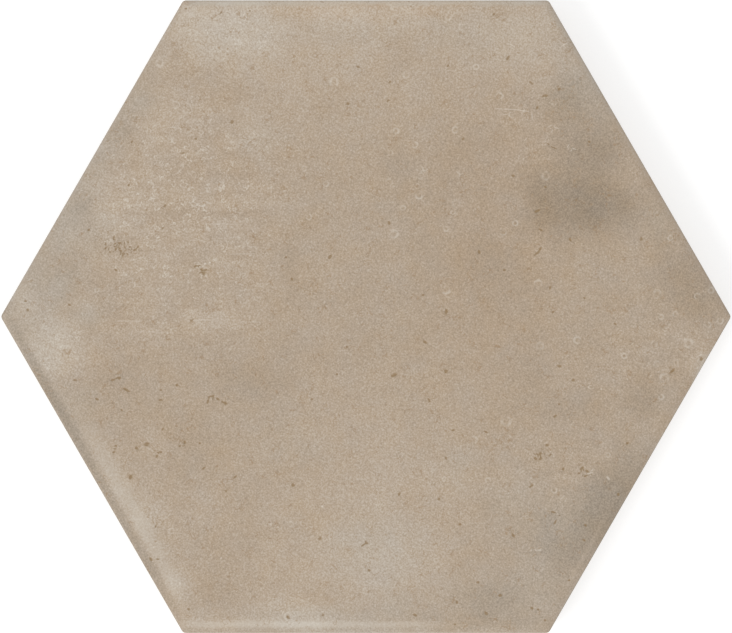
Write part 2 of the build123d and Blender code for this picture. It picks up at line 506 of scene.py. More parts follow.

# %% [markdown]
# ## Marks in the glaze
#
# The fired face has three kinds of small marks. Pits are brown: gas broke through, or grit
# dragged, and the darker clay shows. Bubbles are pale rings, where the glaze healed over.
# Flakes are pale too: chips of crystal, and thin scratches where the tile was rubbed. A noise
# could scatter such marks, but each real one has its own place and size, so all are written
# down as they were read off the picture, in its pixels: middle, half length, half width, and
# turn in degrees for a pit or a flake, and middle and radius for a bubble. The marks become
# points, and one tree brings them to the face. It dents the mesh, and stores how far each spot
# lies from its nearest mark, measured in that mark's own size and turn, which lets a shader
# draw the mark sharp on a mesh that is coarser than the mark.

# %% Where the pits are
PITS = [
    (114, 238, 2.7, 0.9, 75), (106, 248, 1.7, 1.0, 40), (106, 243, 1.2, 0.9, 0),
    (115, 244, 1.8, 1.0, 40), (120, 243, 2.0, 1.0, 10), (116, 249, 1.9, 1.1, 60),
    (119, 247, 1.4, 0.9, 0), (121, 251, 1.8, 1.1, -30), (125, 247, 2.0, 1.0, 110),
    (123, 255, 2.1, 1.0, 70), (128, 242, 1.2, 0.9, 0), (130, 247, 1.4, 1.0, 0),
    (135, 250, 1.8, 1.0, 20), (138, 247, 1.8, 0.9, 60), (110, 252, 1.1, 0.8, 0),
    (128, 254, 1.1, 0.8, 0), (117, 378, 2.6, 0.9, 30), (206, 270, 1.7, 1.1, 30),
    (202, 270, 2.5, 1.3, -40), (204, 273, 2.7, 1.4, 100), (196, 266, 2.4, 1.2, 20),
    (89, 230, 1.8, 1.2, 60), (116, 270, 2.2, 1.2, 140), (232, 122, 2.6, 1.8, 60),
    (183, 153, 2.8, 1.1, 5), (196, 139, 1.5, 1.1, 0), (132, 142, 2.0, 1.2, 70),
    (129, 185, 1.8, 1.1, 40), (165, 206, 1.8, 1.3, 60), (163, 228, 1.4, 1.1, 0),
    (348, 104, 2.0, 1.6, 0), (358, 67, 2.4, 1.2, 160), (330, 257, 2.8, 1.5, 60),
    (186, 9, 1.3, 0.9, 0), (221, 13, 2.2, 0.7, 50), (250, 11, 1.1, 0.8, 0),
    (292, 279, 2.0, 1.2, 120), (286, 257, 1.4, 1.1, 0), (70, 305, 2.2, 1.2, 150),
    (26, 301, 1.6, 1.2, 0), (28, 310, 1.8, 1.2, 130), (508, 58, 2.8, 1.6, 60),
    (448, 66, 2.0, 1.1, 40), (390, 82, 1.8, 1.3, 60), (388, 101, 1.7, 1.1, 30),
    (531, 83, 2.4, 1.2, 140), (545, 96, 4.0, 1.4, 12), (559, 89, 1.8, 1.5, 0),
    (537, 108, 2.2, 1.5, 50), (548, 144, 1.8, 0.7, 150), (554, 148, 3.0, 0.7, 160),
    (463, 139, 1.7, 1.1, 60), (513, 176, 1.9, 1.5, 0), (545, 187, 1.7, 1.3, 0),
    (537, 211, 4.0, 1.4, 25), (389, 223, 2.2, 1.5, 120), (541, 230, 2.6, 1.1, 150),
    (570, 240, 2.4, 1.1, 130), (479, 252, 2.6, 1.5, 110), (540, 249, 2.6, 1.6, 70),
    (537, 253, 4.4, 1.2, 40), (641, 239, 2.4, 1.5, 60), (504, 270, 1.6, 1.3, 0),
    (550, 288, 2.4, 1.2, 80), (446, 312, 3.0, 1.9, 80), (584, 298, 1.6, 1.2, 0),
    (423, 295, 1.6, 1.1, 0), (553, 312, 2.0, 1.2, 30), (589, 142, 1.6, 1.2, 0),
    (494, 14, 2.0, 1.4, 40), (192, 320, 2.2, 1.0, 20), (113, 380, 2.2, 1.2, 0),
    (120, 378, 2.0, 1.2, 60), (127, 390, 4.2, 1.3, 150), (75, 380, 2.2, 1.2, 0),
    (97, 399, 2.4, 1.2, 160), (122, 410, 1.8, 1.2, 120), (161, 400, 2.6, 1.1, 0),
    (161, 390, 1.5, 1.1, 0), (177, 385, 1.7, 1.3, 60), (208, 401, 2.8, 1.2, 80),
    (212, 396, 3.0, 1.1, 15), (218, 399, 2.6, 1.0, 150), (225, 403, 3.0, 1.4, 155),
    (147, 444, 3.0, 2.2, 10), (137, 448, 2.2, 1.5, 130), (116, 446, 1.6, 1.3, 0),
    (114, 452, 1.8, 1.1, 30), (157, 456, 2.0, 1.3, 60), (161, 452, 1.6, 1.2, 0),
    (185, 442, 2.4, 1.6, 100), (180, 446, 1.6, 1.1, 0), (200, 443, 1.5, 1.1, 0),
    (131, 477, 2.8, 1.8, 50), (204, 468, 2.6, 1.1, 30), (235, 477, 2.8, 1.1, 35),
    (226, 491, 1.8, 1.2, 150), (293, 485, 2.2, 1.9, 0), (320, 538, 2.0, 1.8, 0),
    (363, 545, 2.6, 1.0, 30), (366, 542, 2.4, 1.0, 75), (156, 526, 2.0, 1.2, 60),
    (151, 559, 2.2, 1.3, 130), (158, 559, 2.0, 0.9, 0), (189, 609, 1.8, 1.5, 0),
    (288, 617, 2.2, 1.5, 140), (323, 615, 1.6, 1.3, 0), (312, 399, 1.6, 1.2, 0),
    (337, 374, 1.5, 1.1, 0), (347, 347, 1.4, 1.1, 0), (163, 429, 1.8, 1.0, 60),
    (394, 375, 3.4, 1.9, 20), (446, 371, 2.6, 2.2, 0), (425, 342, 2.8, 1.4, 145),
    (429, 400, 2.8, 1.2, 120), (559, 366, 2.6, 1.4, 170), (573, 380, 2.0, 1.7, 0),
    (672, 371, 3.4, 1.7, 40), (701, 359, 2.4, 1.9, 90), (615, 324, 2.2, 1.1, 140),
    (559, 404, 1.5, 1.2, 0), (555, 416, 2.0, 1.4, 30), (486, 432, 2.2, 1.2, 160),
    (453, 430, 1.6, 1.3, 0), (547, 445, 1.9, 1.5, 0), (535, 458, 2.2, 1.6, 160),
    (540, 454, 2.8, 1.6, 50), (540, 459, 1.8, 1.3, 0), (550, 455, 2.2, 0.9, 30),
    (563, 469, 1.9, 1.5, 90), (582, 468, 2.4, 1.5, 40), (587, 471, 2.8, 1.3, 150),
    (585, 476, 1.8, 1.2, 20), (579, 473, 1.4, 1.0, 0), (627, 443, 1.6, 1.4, 0),
    (531, 486, 2.8, 1.1, 30), (618, 494, 2.0, 1.5, 90), (399, 494, 2.2, 1.4, 60),
    (439, 499, 1.7, 1.5, 0), (446, 458, 1.8, 1.2, 100), (553, 512, 2.6, 1.1, 170),
    (555, 522, 3.2, 1.1, 60), (585, 525, 1.7, 1.3, 140), (584, 540, 2.0, 1.2, 150),
    (460, 524, 1.6, 1.3, 0), (513, 535, 2.8, 1.5, 120), (367, 543, 1.6, 1.2, 0),
    (369, 570, 1.8, 1.4, 0), (478, 582, 2.0, 1.4, 0), (500, 595, 2.2, 1.7, 0),
    (457, 602, 1.8, 1.3, 90), (486, 613, 2.4, 1.8, 140), (415, 615, 2.6, 1.5, 150),
    (532, 608, 2.0, 1.3, 150), (538, 609, 1.7, 1.2, 0), (545, 620, 1.6, 1.2, 0),
    (569, 580, 1.6, 1.2, 0), (455, 624, 1.5, 1.2, 0),
]
print(len(PITS), "pits")

# %% Where the bubbles are
BUBBLES = [
    (334, 82, 4.5), (326, 184, 3.0), (309, 217, 3.0), (406, 75, 3.6), (499, 96, 3.8),
    (396, 131, 3.0), (455, 130, 3.2), (415, 145, 3.2), (390, 153, 2.8), (511, 115, 2.6),
    (421, 176, 3.2), (425, 169, 2.4), (389, 182, 3.7), (419, 195, 4.2), (456, 204, 4.4),
    (453, 212, 2.6), (394, 234, 4.4), (403, 208, 2.8), (457, 175, 3.0), (476, 67, 3.0),
    (503, 232, 3.5), (515, 223, 3.0), (446, 229, 2.6), (477, 208, 2.2), (462, 96, 2.4),
    (538, 284, 4.2), (446, 290, 4.2), (657, 294, 4.2), (711, 290, 3.2), (697, 296, 3.0),
    (661, 317, 2.8), (675, 314, 2.6), (708, 325, 3.0), (720, 321, 3.4), (654, 344, 3.0),
    (657, 364, 3.0), (675, 363, 4.0), (661, 397, 2.8), (670, 238, 2.6), (288, 616, 4.0),
    (546, 176, 4.4), (448, 17, 3.6), (413, 8, 4.0), (388, 8, 4.2), (463, 27, 4.4),
    (540, 346, 3.8), (577, 340, 3.6), (624, 356, 2.8), (688, 343, 4.8), (506, 421, 5.0),
    (554, 490, 3.0), (488, 480, 2.8), (459, 468, 2.4), (444, 479, 2.2), (291, 524, 2.8),
    (172, 531, 3.2), (117, 404, 2.0), (304, 169, 2.6), (664, 378, 4.6), (645, 470, 2.6),
    (474, 440, 3.6), (262, 285, 2.4), (160, 63, 4.0), (209, 190, 2.6), (436, 560, 2.4),
    (590, 387, 1.8), (608, 455, 2.4), (97, 290, 2.4),
]
print(len(BUBBLES), "bubbles")

# %% Where pale flakes and thin scratches are
FLAKES = [
    (498, 109, 4.6, 0.6, -2), (506, 109.3, 4.6, 0.7, -3), (514, 109.8, 4.6, 0.7, -4),
    (524, 111, 6.4, 0.6, -7), (505, 114.5, 4.4, 0.35, -3), (532, 117, 5.5, 0.6, 95),
    (564, 45, 5.0, 0.8, 30), (511, 45, 5.0, 0.8, 150), (550, 126, 3.4, 0.6, 25),
    (556, 128, 4.2, 0.6, -15), (552, 131, 2.8, 0.5, 60), (568, 146, 3.6, 0.6, 60),
    (574, 149, 3.4, 0.6, -20), (571, 151, 2.6, 0.5, 10), (526, 139, 3.0, 0.5, 50),
    (130, 321, 30.0, 0.45, 0), (200, 320, 24.0, 0.45, 1), (150, 332, 26.0, 0.4, -1),
    (250, 322, 20.0, 0.4, 0), (240, 254, 22.0, 0.4, 1), (215, 224, 18.0, 0.4, 0),
    (204, 523, 1.3, 1.2, 0), (271, 524, 1.7, 1.5, 0), (322, 506, 1.4, 1.3, 0),
    (211, 555, 1.3, 1.1, 0), (221, 558, 1.6, 1.0, 50), (180, 583, 1.8, 1.4, -40),
    (154, 547, 1.3, 1.1, 0), (242, 285, 1.6, 1.4, 0), (285, 158, 1.5, 1.0, 20),
    (232, 142, 3.6, 1.3, 0), (254, 134, 3.4, 0.8, -35), (211, 120, 2.4, 0.9, 60),
    (244, 15, 1.5, 1.3, 0), (265, 42, 4.4, 1.5, 8), (589, 474, 3.0, 1.4, -30),
    (608, 478, 3.6, 1.5, -60), (539, 550, 3.2, 1.3, 0), (531, 550, 1.5, 1.0, 0),
    (134, 179, 2.4, 0.9, -50), (285, 191, 2.2, 1.0, 0), (592, 470, 2.0, 0.8, 40),
    (700, 355, 2.6, 0.9, 30), (601, 389, 1.3, 1.1, 0), (283, 612, 2.0, 0.8, 60),
]
print(len(FLAKES), "flakes and scratches")

# %% Turn the marks into points
def on_tile(x, y):
    """A pixel of the picture as a point of the tile, in metres."""
    return (x - PICTURE_CENTRE[0]) * PIXEL, (PICTURE_CENTRE[1] - y) * PIXEL


def mark_points(name, marks):
    """A mesh of loose points that hold each mark's half length, half width and turn."""
    mesh = bpy.data.meshes.new(name)
    mesh.from_pydata([(*on_tile(x, y), 0) for x, y, *_ in marks], [], [])
    sizes = [(long * PIXEL, short * PIXEL, radians(turn)) for _, _, long, short, turn in marks]
    for label, values in zip(("half_length", "half_width", "turn"), zip(*sizes)):
        mesh.attributes.new(label, "FLOAT", "POINT").data.foreach_set("value", values)
    return bpy.data.objects.new(name, mesh)


pit_points = mark_points("pit_points", PITS)
bubble_points = mark_points("bubble_points", [(x, y, r, r, 0) for x, y, r in BUBBLES])
flake_points = mark_points("flake_points", FLAKES)
print("marks in all:", len(PITS) + len(BUBBLES) + len(FLAKES))

# %% Geometry Nodes: bring the marks to the face
PIT_MARKS = {"Marks": pit_points, "Name": "pit", "Depth": 0.08 * MM, "Material": glaze}
BUBBLE_MARKS = {**PIT_MARKS, "Marks": bubble_points, "Name": "bubble", "Depth": 0.02 * MM}
FLAKE_MARKS = {**PIT_MARKS, "Marks": flake_points, "Name": "flake", "Depth": 0.0}
marking, size = start_tree("marks_in_glaze", PIT_MARKS)
marks = add(marking, "GeometryNodeObjectInfo", {0: size["Marks"]}).outputs["Geometry"]
place = add(marking, "GeometryNodeInputPosition")
closest = add(marking, "GeometryNodeSampleNearest", {0: marks})
found = []
for label in ("half_length", "half_width", "turn"):
    value = add(marking, "GeometryNodeInputNamedAttribute", {"Name": label}, data_type="FLOAT")
    value = {0: marks, "Value": value, "Index": closest}
    found.append(add(marking, "GeometryNodeSampleIndex", value, data_type="FLOAT"))
middle = {0: marks, "Value": place, "Index": closest}
middle = add(marking, "GeometryNodeSampleIndex", middle, data_type="FLOAT_VECTOR")
away = add(marking, "ShaderNodeVectorMath", {0: place, 1: middle}, operation="SUBTRACT")
away = {"Vector": away, "Angle": found[2]}
away = add(marking, "ShaderNodeVectorRotate", away, rotation_type="Z_AXIS", invert=True)

# Height doesn't count, so the third size that the distance is divided by is huge
axes = add(marking, "ShaderNodeCombineXYZ", {0: found[0], 1: found[1], 2: 1e6})
away = add(marking, "ShaderNodeVectorMath", {0: away, 1: axes}, operation="DIVIDE")
gap = add(marking, "ShaderNodeVectorMath", {0: away}, operation="LENGTH").outputs["Value"]
near_name = add(marking, "GeometryNodeStringJoin")
for part in (add(marking, "FunctionNodeInputString", string="_near").outputs[0], size["Name"]):
    marking.links.new(part, near_name.inputs["Strings"])
marked = {"Geometry": size["Geometry"], "Name": size["Name"], "Value": away}
marked = add(marking, "GeometryNodeStoreNamedAttribute", marked, data_type="FLOAT_VECTOR")
marked = {"Geometry": marked, "Name": near_name, "Value": gap}
marked = add(marking, "GeometryNodeStoreNamedAttribute", marked, data_type="FLOAT")

# A dent is a soft bowl, deepest in the middle of its mark, and only in the face
DENTED_ABOVE = THICKNESS * 0.9
bowl = {"Value": gap, "From Max": 1.4, "To Min": -1.0, "To Max": 0.0}
bowl = add(marking, "ShaderNodeMapRange", bowl, interpolation_type="SMOOTHSTEP")
bowl = add(marking, "ShaderNodeMath", {0: bowl, 1: size["Depth"]}, operation="MULTIPLY")
bowl = add(marking, "ShaderNodeCombineXYZ", {2: bowl})
height = add(marking, "ShaderNodeSeparateXYZ", {0: place}).outputs["Z"]
in_face = add(marking, "ShaderNodeMath", {0: height, 1: DENTED_ABOVE}, operation="GREATER_THAN")
dented = {"Geometry": marked, "Selection": in_face, "Offset": bowl}
dented = add(marking, "GeometryNodeSetPosition", dented)
end_tree(marking, dented, size["Material"])
print("dents in mm:", [round(m["Depth"] / MM, 2) for m in (PIT_MARKS, BUBBLE_MARKS, FLAKE_MARKS)])

# %% [markdown]
# ## Make the body
#
# The three trees are hung on an empty mesh, one after another, and evaluated together. The
# result becomes a plain mesh of its own, because what moves with the part is plain mesh. Its
# arrises are kept sharp, and all that turns softly is shaded smooth.

# %% Evaluate the trees into one plain mesh
seed = bpy.data.objects.new("seed", bpy.data.meshes.new("seed"))
scene.collection.objects.link(seed)
hang(slab, seed, SLAB)
hang(honeycomb, seed, KEY)
for values in (PIT_MARKS, BUBBLE_MARKS, FLAKE_MARKS):
    hang(marking, seed, values)
ready = bpy.context.evaluated_depsgraph_get()
body_mesh = bpy.data.meshes.new_from_object(
    seed.evaluated_get(ready), preserve_all_data_layers=True, depsgraph=ready
)
for spare in (seed, pit_points, bubble_points, flake_points):
    bpy.data.objects.remove(spare)
body_mesh.name = "glazed_tile"

# Anything that turns by more than this keeps a sharp edge: the arris, and the key's ribs
SHARP_TURN = radians(32)
body_mesh.shade_smooth()
body_mesh.set_sharp_from_angle(angle=SHARP_TURN)
tile = bpy.data.objects.new("glazed_tile", body_mesh)
scene.collection.objects.link(tile)
body_mesh.calc_loop_triangles()
print("tile:", len(body_mesh.vertices), "vertices,", len(body_mesh.loop_triangles), "triangles")
print("attributes:", [a.name for a in body_mesh.attributes])

# %% Check that the mesh is closed
edge_faces = np.zeros(len(body_mesh.edges), int)
loop_edges = np.zeros(len(body_mesh.loops), int)
body_mesh.loops.foreach_get("edge_index", loop_edges)
np.add.at(edge_faces, loop_edges, 1)
print("edges with other than two faces:", int((edge_faces != 2).sum()))

# %% [markdown]
# ## Clouds in the glaze
#
# The glaze clouded as it cooled: crystals made it pale where it lay thick, smoke and iron
# made it dark and warm elsewhere, and ash greyed it. No two tiles match, so the clouds follow
# the picture. Each is one soft patch, listed with its middle, half width and half height in
# pixels, turn in degrees, and amount. A little noise bends their outlines. They are kept as
# numbers on the mesh's points, which is enough for anything wider than a few pixels.

# %% Where the clouds lie
# Haze is pale and smoke is dark. Ash takes the warmth out of the colour, or puts some in where
# its amount is below zero. Under a veil, fine pale curls and drag lines show. The long thin strip
# of haze along the top edge is painted highlight, and the warm strips of ash there colour it.
HAZE = [
    (228, 32, 58, 34, 0, 0.6), (345, 16, 30, 16, 0, 0.4), (366, 2, 200, 12, 0, 0.3),
    (366, 20, 190, 70, 0, 0.2), (350, 95, 110, 62, 0, 0.2), (400, 18, 22, 16, 0, 0.3),
    (56, 346, 27, 26, 0, 0.75), (62, 230, 30, 16, 0, 0.15), (375, 558, 56, 40, 0, 0.2),
    (370, 500, 120, 110, 0, 0.25), (525, 40, 42, 36, 0, 0.4), (110, 205, 26, 26, 0, 0.3),
    (170, 122, 36, 30, 0, 0.2), (190, 220, 100, 122, 0, 0.2), (215, 322, 30, 14, 0, 0.35),
    (702, 368, 12, 18, 0, 0.5), (160, 63, 12, 12, 0, 0.2), (130, 490, 22, 44, 25, 0.3),
    (152, 515, 20, 22, 0, 0.3), (180, 585, 20, 20, 0, 0.3), (285, 578, 64, 30, 0, 0.15),
    (292, 614, 44, 16, 0, 0.45), (25, 300, 16, 14, 0, 0.3), (595, 470, 14, 40, -20, 0.1),
    (180, 22, 20, 16, 0, 0.15), (320, 14, 44, 14, 0, 0.12), (262, 62, 20, 20, 0, 0.15),
    (262, 140, 20, 24, 0, 0.17), (140, 185, 20, 16, 0, 0.12), (100, 262, 18, 16, 0, 0.16),
    (540, 256, 16, 16, 0, 0.12), (480, 490, 50, 34, 0, 0.12), (200, 508, 40, 24, 0, 0.13),
    (180, 545, 20, 20, 0, 0.14), (420, 582, 22, 18, 0, 0.13), (200, 618, 40, 13, 0, 0.17),
    (465, 20, 30, 16, 0, 0.1), (702, 362, 12, 14, 0, 0.15), (194, 14, 14, 12, 0, 0.25),
    (175, 591, 14, 14, 0, 0.25), (30, 316, 15, 13, 0, 0.22), (87, 310, 14, 14, 0, 0.22),
    (88, 363, 14, 14, 0, 0.22), (546, 18, 12, 12, 0, 0.2), (541, 237, 13, 13, 0, 0.25),
    (157, 447, 16, 17, 0, 0.25), (332, 284, 15, 13, 0, 0.2), (145, 290, 14, 13, 0, 0.2),
    (377, 493, 18, 16, 0, 0.18),
]
SMOKE = [
    (580, 210, 54, 32, 0, 0.75), (586, 172, 36, 40, 0, 0.5), (566, 110, 22, 30, -10, 0.5),
    (600, 135, 18, 30, 25, 0.35), (562, 150, 20, 22, 0, 0.2), (538, 200, 14, 24, 0, 0.25),
    (630, 210, 16, 24, 0, 0.3), (683, 275, 30, 28, -20, 0.6), (705, 305, 22, 18, 0, 0.4),
    (650, 240, 18, 14, 0, 0.15), (640, 400, 19, 18, 0, 0.55), (660, 375, 28, 20, 0, 0.25),
    (645, 318, 26, 24, 0, 0.15), (606, 512, 26, 62, -30, 0.95), (562, 560, 20, 18, 0, 0.25),
    (547, 500, 14, 40, 0, 0.25), (488, 602, 32, 17, 0, 0.45), (108, 386, 24, 22, 0, 0.2),
    (188, 440, 30, 24, 0, 0.15), (262, 383, 44, 28, 0, 0.25), (290, 265, 9, 38, 0, 0.25),
    (482, 262, 26, 26, 0, 0.2), (440, 150, 90, 40, 0, 0.1), (490, 225, 84, 90, 0, 0.12),
    (515, 292, 36, 30, 0, 0.2), (530, 375, 20, 18, 0, 0.25), (560, 405, 44, 16, 0, 0.2),
    (218, 593, 24, 14, 0, 0.16), (120, 130, 12, 12, 0, 0.4), (84, 204, 12, 12, 0, 0.4),
    (66, 270, 16, 10, 0, 0.25), (122, 250, 14, 10, 0, 0.2), (500, 520, 40, 60, 0, 0.1),
    (484, 490, 12, 30, 0, 0.15), (600, 430, 50, 30, 0, 0.12), (68, 292, 14, 12, 0, 0.15),
    (400, 60, 32, 16, 0, 0.12), (228, 182, 46, 16, 0, 0.12), (182, 262, 16, 16, 0, 0.12),
    (580, 222, 24, 14, 0, 0.15), (662, 215, 16, 24, 0, 0.2), (100, 460, 14, 14, 0, 0.12),
    (540, 342, 18, 14, 0, 0.12), (545, 535, 22, 24, -30, 0.15), (590, 155, 22, 18, 0, 0.25),
    (580, 500, 16, 20, 0, 0.25), (530, 182, 26, 16, 0, 0.18), (652, 182, 14, 18, 0, 0.15),
    (510, 585, 28, 20, 0, 0.14), (560, 528, 18, 34, -30, 0.15), (572, 88, 20, 16, 0, 0.12),
    (83, 218, 14, 14, 0, 0.3), (485, 624, 22, 10, 0, 0.38), (525, 624, 20, 10, 0, 0.25),
    (559, 590, 13, 17, -30, 0.25), (398, 69, 16, 12, 0, 0.2), (707, 321, 14, 14, 0, 0.22),
    (328, 117, 16, 14, 0, 0.2), (598, 212, 16, 14, 0, 0.2), (601, 479, 13, 14, 0, 0.25),
    (492, 508, 14, 14, 0, 0.2), (395, 167, 15, 13, 0, 0.2), (290, 347, 15, 13, 0, 0.2),
    (438, 621, 18, 10, 0, 0.2), (504, 8, 16, 10, 0, 0.18),
]
ASH = [
    (30, 318, 50, 50, 0, 0.5), (230, 30, 60, 34, 0, 0.3), (90, 170, 20, 120, -30, 0.6),
    (92, 470, 26, 180, 30, 0.5), (592, 85, 20, 60, 30, 0.5), (610, 510, 28, 110, -30, 0.3),
    (330, 622, 100, 16, 0, 0.6), (380, 550, 50, 40, 0, 0.5), (485, 28, 76, 34, 0, 0.35),
    (84, 232, 30, 36, -30, 0.45), (568, 92, 26, 26, 0, 0.4), (560, 530, 24, 56, -30, 0.4),
    (520, 600, 56, 36, 0, 0.45), (50, 285, 22, 22, 0, 0.3), (520, 512, 36, 44, 0, 0.35),
    (285, 440, 30, 30, 0, 0.2), (450, 600, 30, 30, 0, 0.2), (366, -1, 205, 4, 0, -0.8),
    (366, 633, 190, 5, 0, 0.3), (640, 158, 5, 150, 30, -0.4), (91, 315, 16, 14, 0, 0.5),
    (400, 603, 18, 14, 0, 0.5), (146, 102, 14, 14, 0, 0.4), (258, 139, 16, 16, 0, 0.4),
    (660, 222, 14, 20, 0, 0.45), (68, 282, 14, 14, 0, 0.4), (85, 396, 14, 14, 0, 0.4),
    (459, 465, 16, 16, 0, 0.4), (330, 8, 24, 10, 0, -0.35), (423, 8, 18, 10, 0, -0.35),
    (495, 240, 70, 140, 0, -0.25), (366, 9, 190, 9, 0, -0.3), (345, 34, 50, 13, 0, 0.3),
]
VEIL = [
    (190, 215, 98, 125, 0, 1.0), (60, 340, 40, 40, 0, 0.6), (232, 30, 60, 36, 0, 0.5),
    (545, 125, 44, 54, 0, 0.5), (655, 350, 55, 60, 0, 0.5), (555, 470, 50, 60, 0, 0.4),
]
print("patches:", len(HAZE), len(SMOKE), len(ASH), len(VEIL))

# %% Paint the clouds on the mesh's points
# The outlines wander by up to this many pixels, to and fro over some 9 mm
WANDER = 6.0
WANDER_LENGTH = 9.0 * MM

spots = np.empty(3 * len(body_mesh.vertices))
body_mesh.vertices.foreach_get("co", spots)
spots = spots.reshape(-1, 3)
drift = [noise.turbulence_vector(Vector(spot / WANDER_LENGTH), 3, False) for spot in spots]
drift = np.array(drift) * WANDER
picture_x = spots[:, 0] / PIXEL + PICTURE_CENTRE[0] + drift[:, 0]
picture_y = PICTURE_CENTRE[1] - spots[:, 1] / PIXEL + drift[:, 1]


def clouds(patches):
    """The sum of soft patches, each flat in its middle, at every point of the mesh."""
    total = np.zeros(len(spots))
    for x, y, half_width, half_height, turn, amount in patches:
        c, s = cos(radians(turn)), sin(radians(turn))
        along = ((picture_x - x) * c - (picture_y - y) * s) / half_width
        across = ((picture_x - x) * s + (picture_y - y) * c) / half_height
        total += amount * np.exp(-((along**2 + across**2) ** 1.5))
    return total


def keep(name, values):
    """Stores one number for each point of the mesh, for the shader to read."""
    body_mesh.attributes.new(name, "FLOAT", "POINT").data.foreach_set("value", values)
    print(name, "runs from", round(values.min(), 2), "to", round(values.max(), 2))


keep("haze", clouds(HAZE))
keep("smoke", clouds(SMOKE))
keep("ash", clouds(ASH))
keep("veil", clouds(VEIL))

# %% [markdown]
# ## Along the sides
#
# Along the sides, light and shade are painted into the colour. On the lower left the outer part
# of the shoulder gets a dark band of painted shade, and inside it a pale line that is painted
# highlight and partly glaze gathered inside the arris; along the bottom the pale line is a narrow
# painted highlight. Thin pale lines on the rims, strongest at the top and the upper right, are
# painted highlight on the nose. Each entry has the side's direction, how far in from the side
# the line lies and how wide it is, in pixels, the stretch of the picture's x that it covers, how
# softly it ends, and its amount: pale above zero and dark below.

# %% Lines along the sides
SIDE_LIGHT_AND_SHADE_LINES = [
    (210, 4.0, 6.2, 10, 175, 20, -0.6), (210, 18.0, 9.5, 90, 175, 25, 0.5),
    (210, 5.0, 6.0, 25, 90, 15, -0.25), (210, 0.0, 2.0, 5, 180, 10, 0.3),
    (270, 8.9, 3.2, 195, 440, 40, 0.6), (270, 9.5, 6.0, 190, 330, 30, 0.22),
    (270, 0.5, 1.8, 190, 545, 10, 0.2), (330, 8.0, 2.2, 568, 602, 12, 0.4),
    (330, 0.5, 2.0, 552, 728, 10, 0.35), (30, 1.2, 3.6, 555, 725, 20, 0.7),
    (90, 0.8, 4.2, 190, 545, 20, 1.08), (150, 0.5, 2.5, 10, 175, 15, 0.4),
]
STEEPNESS = 4
# Painted shade and painted highlight along the sides, as one number for each point
side_light_and_shade = np.zeros(len(spots))
for side, distance, half_width, first_x, last_x, soft, amount in SIDE_LIGHT_AND_SHADE_LINES:
    facing = (cos(radians(side)), sin(radians(side)))
    within = (APOTHEM - spots[:, 0] * facing[0] - spots[:, 1] * facing[1]) / PIXEL
    begin = 1 / (1 + np.exp(-(picture_x - first_x) / soft * STEEPNESS))
    end = 1 / (1 + np.exp((picture_x - last_x) / soft * STEEPNESS))
    side_light_and_shade += amount * begin * end * np.exp(-np.abs((within - distance) / half_width) ** 3)
keep("roll", side_light_and_shade)

# %% [markdown]
# ## The glaze
#
# One material covers the tile: a dry matt glaze on fired clay. It is matt because fine
# crystals fill its surface, so it is rough and has hardly any gleam, and they also make it
# grainy: pale and brown flecks under half a millimetre wide. Everything that makes it lighter
# or darker is added up as one level, and a ramp turns the level into a colour. An even mix of
# textures over a flat colour would be simpler, but the hue of a glaze changes with its tone.
# Below an uneven line on the sides the glaze ends. A second material could start there, but
# the line would then follow the mesh's edges, so one material holds both and mixes them.

# %% Glaze: where it ends
LINE_LOW = 2.2 * MM
LINE_SWING = 3.0 * MM
LINE_WAVE = 7.0 * MM

glaze.use_nodes = True
paint = glaze.node_tree
paint.nodes.clear()
spot = add(paint, "ShaderNodeTexCoord").outputs["Object"]
height = add(paint, "ShaderNodeSeparateXYZ", {0: spot}).outputs["Z"]
run = add(paint, "ShaderNodeTexNoise", {"Vector": spot, "Scale": 1 / LINE_WAVE, "Detail": 3.0})
line = {0: run, 1: LINE_SWING, 2: LINE_LOW}
line = add(paint, "ShaderNodeMath", line, operation="MULTIPLY_ADD")
over_line = add(paint, "ShaderNodeMath", {0: height, 1: line}, operation="SUBTRACT")
glazed = {"Value": over_line, "From Min": -0.04 * MM, "From Max": 0.04 * MM}
glazed = add(paint, "ShaderNodeMapRange", glazed)
print("the glaze ends at least", round(LINE_LOW / MM, 1), "mm above the back")

# %% Glaze: what the mesh's points know
attributes = {}
for name in ("haze", "smoke", "ash", "veil", "roll", "pit_near", "bubble_near", "flake_near"):
    attributes[name] = add(paint, "ShaderNodeAttribute", attribute_name=name).outputs["Fac"]
for name in ("pit", "bubble", "flake"):
    attributes[name] = add(paint, "ShaderNodeAttribute", attribute_name=name).outputs["Vector"]
print("read from the mesh:", list(attributes))

# %% Glaze: grain, mottling and clouds as one level
# Real grain is finer than a pixel in places; at 0.27 mm, a pixel and a half, it still shows
GRAIN = 0.27 * MM
MOTTLING = 7.0 * MM
DRAG_WIDTH = 1.3 * MM
DRAG_STRETCH = 6.0

# The pattern's slices are turned, because a noise cut along its own axes looks woven
slanted = add(paint, "ShaderNodeMapping", {0: spot, "Rotation": (0.5, 0.4, 0.6)})
grain = {"Vector": slanted, "Scale": 1 / GRAIN, "Detail": 1.0, "Distortion": 0.4}
grain = add(paint, "ShaderNodeTexNoise", grain)

# Under the pale lines along the sides, painted highlight and partly gathered glaze, the grain is
# calmer
calm = {"Value": attributes["roll"], "From Max": 0.6, "To Min": 1.0, "To Max": 0.55}
calm = add(paint, "ShaderNodeMapRange", calm)
calm_grain = add(paint, "ShaderNodeMath", {0: grain, 1: 0.5}, operation="SUBTRACT")
calm_grain = {0: calm_grain, 1: calm}
calm_grain = add(paint, "ShaderNodeMath", calm_grain, operation="MULTIPLY")
mottling = {"Vector": spot, "Scale": 1 / MOTTLING, "Detail": 4.0, "Roughness": 0.55}
mottling = add(paint, "ShaderNodeTexNoise", mottling)

